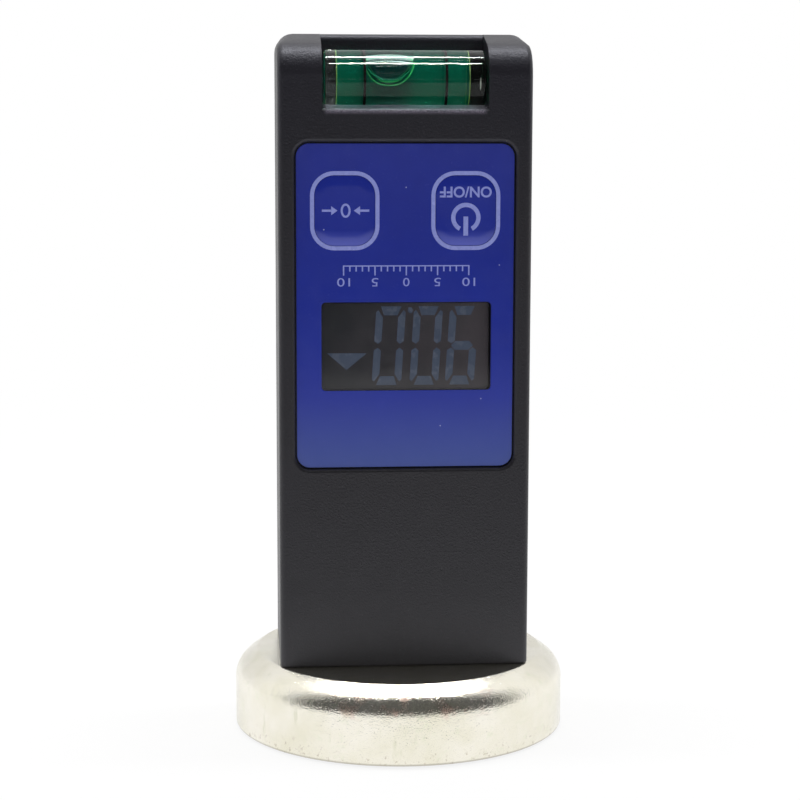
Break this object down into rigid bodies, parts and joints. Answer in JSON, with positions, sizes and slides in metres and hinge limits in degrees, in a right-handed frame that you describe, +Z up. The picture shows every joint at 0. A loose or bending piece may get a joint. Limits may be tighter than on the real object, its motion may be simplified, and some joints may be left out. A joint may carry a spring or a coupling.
{
  "type": "camber caster gauge",
  "caption": "Hand-held digital wheel alignment gauge: black case with keys, display and spirit vial on a round magnetic base.",
  "frame": {"origin": "centre of the magnetic base's rim, in the plane that it rests on", "axes": "+Z up along the case, -Y out of the face with the keys and the display, +X to the right when that face is looked at"},
  "size_m": [0.066, 0.066, 0.1373],
  "materials": {
    "nickel_plate": "bright nickel plate over pressed steel, faintly speckled",
    "ferrite": "matt dark grey sintered ferrite",
    "black_resin": "matt black moulding compound",
    "zinc_steel": "bright zinc plated",
    "black_steel": "black oxide",
    "case_plastic": "fine spark-textured ABS",
    "clear_acrylic": "polished clear acrylic",
    "green_spirit": "clear green spirit",
    "air_bubble": "air bubble in the spirit",
    "black_print": "printed black ring",
    "blue_film": "second-surface printed polyester film",
    "smoked_window": "clear hard-coated window",
    "white_plastic": "natural white moulding",
    "lcd_glass": "dark negative liquid crystal glass",
    "pink_rubber": "conductive rubber strip",
    "green_laminate": "solder-masked laminate",
    "capacitor_sleeve": "shrink sleeve",
    "cell_wrap": "plain shrink-wrapped cell"
  },
  "bodies": {
    "case": {"base_cup": "nickel_plate", "ring_magnet": "ferrite", "resin_ring": "black_resin", "base_screws": "zinc_steel", "foot_plate": "zinc_steel", "front_shell": "case_plastic", "rear_shell": "case_plastic", "case_screws": "black_steel", "vial_tube": "clear_acrylic", "vial_plug": "clear_acrylic", "vial_fluid": "green_spirit", "vial_rings": "black_print", "overlay_film": "blue_film", "display_window": "smoked_window", "switch_housings": "black_resin", "lcd_panel": "lcd_glass", "lcd_frame": "white_plastic", "lcd_strips": "pink_rubber", "backlight_panel": "white_plastic", "main_pcb": "green_laminate", "pcb_screws": "zinc_steel", "controller_chip": "black_resin", "tilt_sensor": "black_resin", "crystal_can": "zinc_steel", "capacitors": "capacitor_sleeve", "battery_left": "cell_wrap", "battery_right": "cell_wrap", "battery_springs": "zinc_steel", "battery_contacts": "zinc_steel"},
    "power_button": {"power_key": "blue_film", "power_plunger": "white_plastic"},
    "zero_button": {"zero_key": "blue_film", "zero_plunger": "white_plastic"},
    "door": {"battery_door": "case_plastic"},
    "bubble": {"vial_bubble": "air_bubble"}
  },
  "joints": [
    {"name": "power_press", "type": "slide", "parent": "case", "child": "power_button", "axis": [0, 1, 0], "range_m": [0, 0.0004], "stiffness_N_per_m": 4000},
    {"name": "zero_press", "type": "slide", "parent": "case", "child": "zero_button", "axis": [0, 1, 0], "range_m": [0, 0.0004], "stiffness_N_per_m": 4000},
    {"name": "door_hinge", "type": "hinge", "parent": "case", "child": "door", "pos_m": [0, 0.0144, 0.0456], "axis": [-1, 0, 0], "range_deg": [0, 90]},
    {"name": "bubble_drift", "type": "slide", "parent": "case", "child": "bubble", "axis": [1, 0, 0], "range_m": [-0.0043, 0.0103]}
  ]
}
